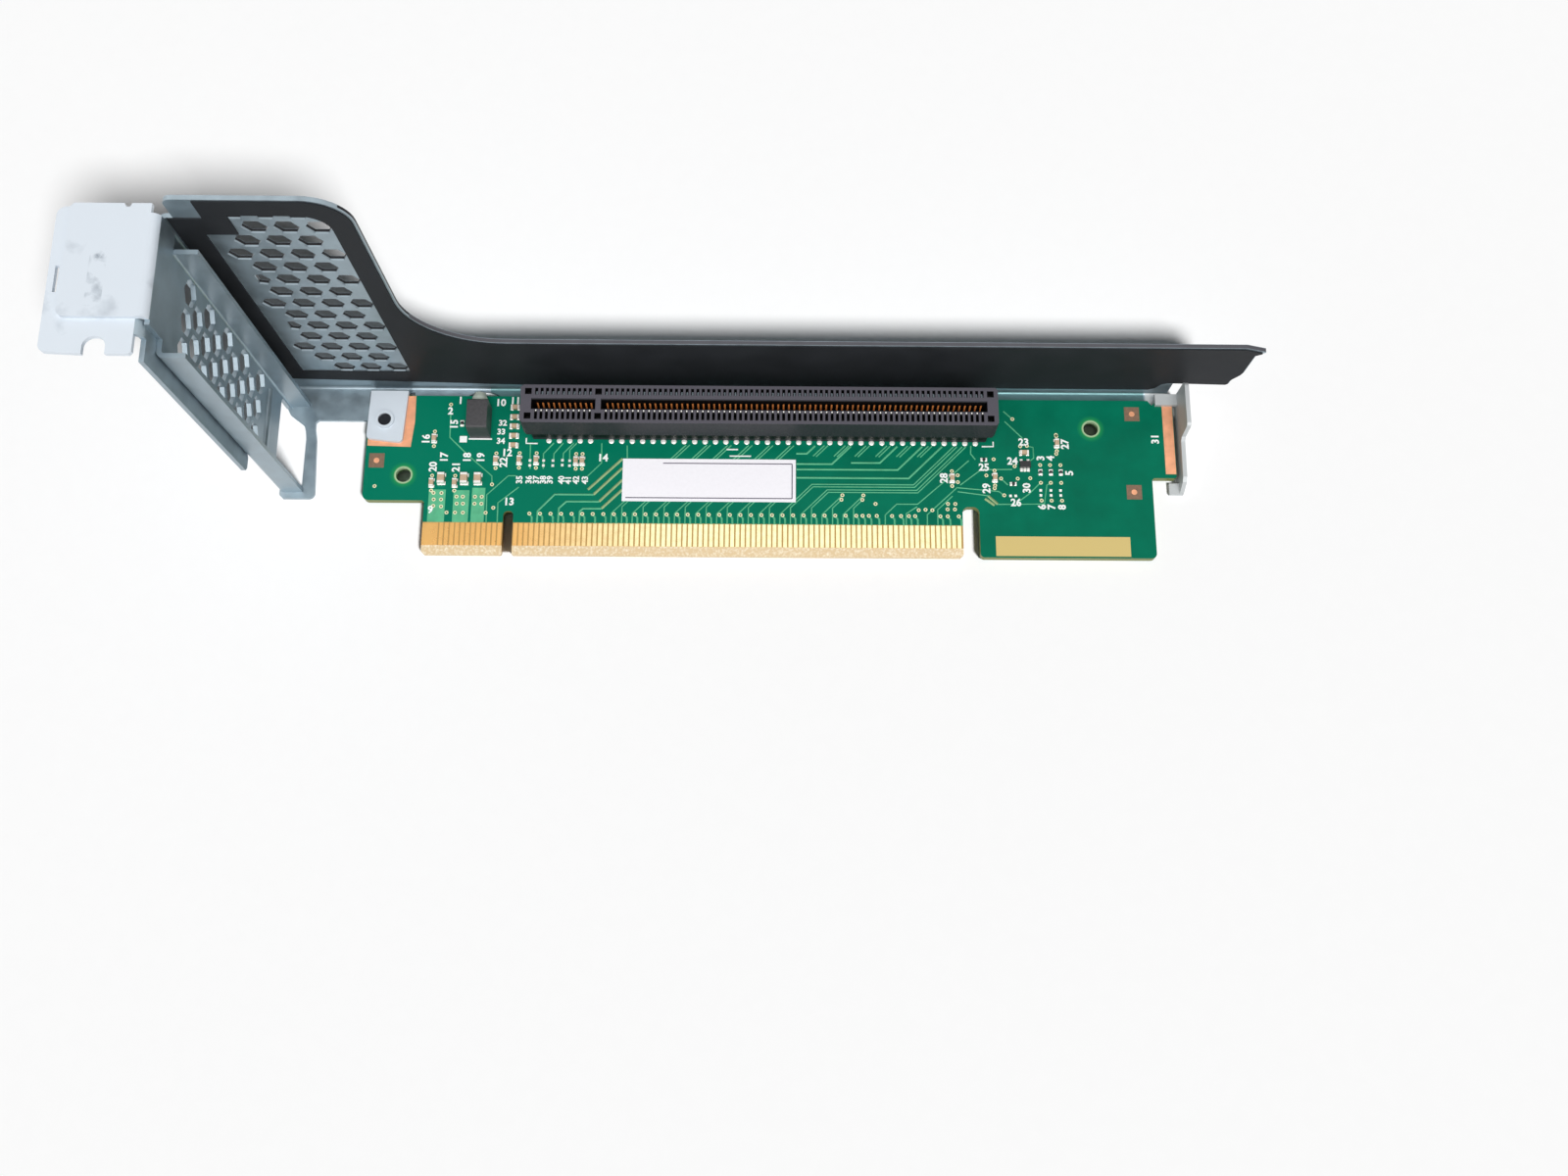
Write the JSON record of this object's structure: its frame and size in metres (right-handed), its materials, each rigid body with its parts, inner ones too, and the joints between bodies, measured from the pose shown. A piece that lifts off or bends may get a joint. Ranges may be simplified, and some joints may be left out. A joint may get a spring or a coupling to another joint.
{
  "type": "riser card with bracket",
  "caption": "Server riser card: a green board with a gold card edge and a long card slot, in a folded steel bracket with black film, vent holes and a perforated slot filler.",
  "frame": {"origin": "centre of the card edge's key, at the edge of the board, on the board's front face", "axes": "+X along the card edge away from the tall end, +Y from the card edge to the top wall, +Z out of the board's front face; the card lies on its back"},
  "size_m": [0.2003, 0.0352, 0.0719],
  "materials": {
    "galvanised_steel": "zinc-coated rolled sheet",
    "black_film": "matt insulating film",
    "filler_steel": "bright plated sheet",
    "screw_steel": "zinc-plated",
    "green_board": "green solder mask",
    "gold": "gold plate",
    "copper": "bare protected copper",
    "test_pad": "bare board window",
    "paper": "blank paper label",
    "slot_plastic": "moulded black plastic",
    "holder_plastic": "moulded black plastic",
    "lens_resin": "milky resin",
    "tan_ceramic": "fired ceramic",
    "tin": "tinned and soldered",
    "black_resin": "moulded resin"
  },
  "bodies": {
    "root": {"bracket": "galvanised_steel", "insulator_film": "black_film", "slot_filler": "filler_steel", "board_screw": "screw_steel", "circuit_board": "green_board", "edge_contacts_front": "gold", "edge_contacts_back": "gold", "ground_pad_left": "copper", "ground_pad_right": "copper", "test_pads": "test_pad", "label": "paper", "slot_housing": "slot_plastic", "slot_contacts_upper": "gold", "slot_contacts_lower": "gold", "led_holder": "holder_plastic", "led_lens": "lens_resin", "capacitors_large": "tan_ceramic", "capacitor_ends_large": "tin", "capacitors_small": "tan_ceramic", "capacitor_ends_small": "tin", "resistors": "black_resin", "resistor_ends": "tin", "regulator_body": "black_resin", "regulator_leads": "tin"}
  },
  "joints": []
}
